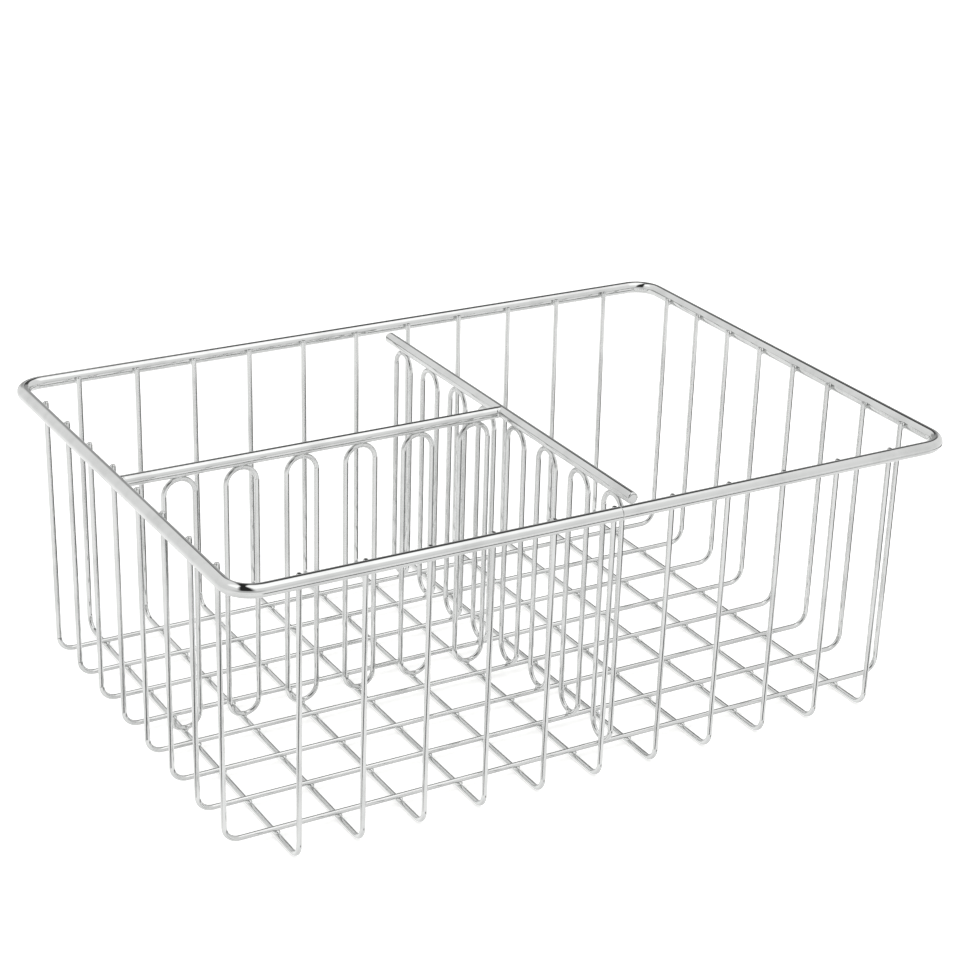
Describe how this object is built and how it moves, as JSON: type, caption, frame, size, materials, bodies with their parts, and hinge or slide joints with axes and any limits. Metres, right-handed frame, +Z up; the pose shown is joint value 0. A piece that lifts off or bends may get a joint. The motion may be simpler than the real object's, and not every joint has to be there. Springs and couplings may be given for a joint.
{
  "type": "pot lid organizer",
  "caption": "Open-topped welded wire basket in bright chrome with looped wire dividers, for standing pot and container lids on edge in separate bays.",
  "frame": {"origin": "middle of the footprint, on the surface that the basket stands on", "axes": "+Z up, +X to the right along the long front side, +Y to the back; the side with two bays is on the left"},
  "size_m": [0.356, 0.254, 0.1335],
  "materials": {
    "rim_chrome": "bright chrome plating over steel wire",
    "long_wire_chrome": "bright chrome plating over steel wire",
    "cross_wire_chrome": "bright chrome plating over steel wire",
    "divider_bar_chrome": "bright chrome plating over steel wire",
    "divider_loop_chrome": "bright chrome plating over steel wire"
  },
  "bodies": {
    "root": {"rim": "rim_chrome", "long_wire_1": "long_wire_chrome", "long_wire_2": "long_wire_chrome", "long_wire_3": "long_wire_chrome", "long_wire_4": "long_wire_chrome", "long_wire_5": "long_wire_chrome", "long_wire_6": "long_wire_chrome", "long_wire_7": "long_wire_chrome", "long_wire_8": "long_wire_chrome", "cross_wire_1": "cross_wire_chrome", "cross_wire_2": "cross_wire_chrome", "cross_wire_3": "cross_wire_chrome", "cross_wire_4": "cross_wire_chrome", "cross_wire_5": "cross_wire_chrome", "cross_wire_6": "cross_wire_chrome", "cross_wire_7": "cross_wire_chrome", "cross_wire_8": "cross_wire_chrome", "cross_wire_9": "cross_wire_chrome", "cross_wire_10": "cross_wire_chrome", "cross_wire_11": "cross_wire_chrome", "main_divider_bar": "divider_bar_chrome", "main_divider_loop_1": "divider_loop_chrome", "main_divider_loop_2": "divider_loop_chrome", "main_divider_loop_3": "divider_loop_chrome", "main_divider_loop_4": "divider_loop_chrome", "main_divider_loop_5": "divider_loop_chrome", "main_divider_loop_6": "divider_loop_chrome", "main_divider_loop_7": "divider_loop_chrome", "main_divider_loop_8": "divider_loop_chrome", "side_divider_bar": "divider_bar_chrome", "side_divider_loop_1": "divider_loop_chrome", "side_divider_loop_2": "divider_loop_chrome", "side_divider_loop_3": "divider_loop_chrome", "side_divider_loop_4": "divider_loop_chrome", "side_divider_loop_5": "divider_loop_chrome", "side_divider_loop_6": "divider_loop_chrome"}
  },
  "joints": []
}
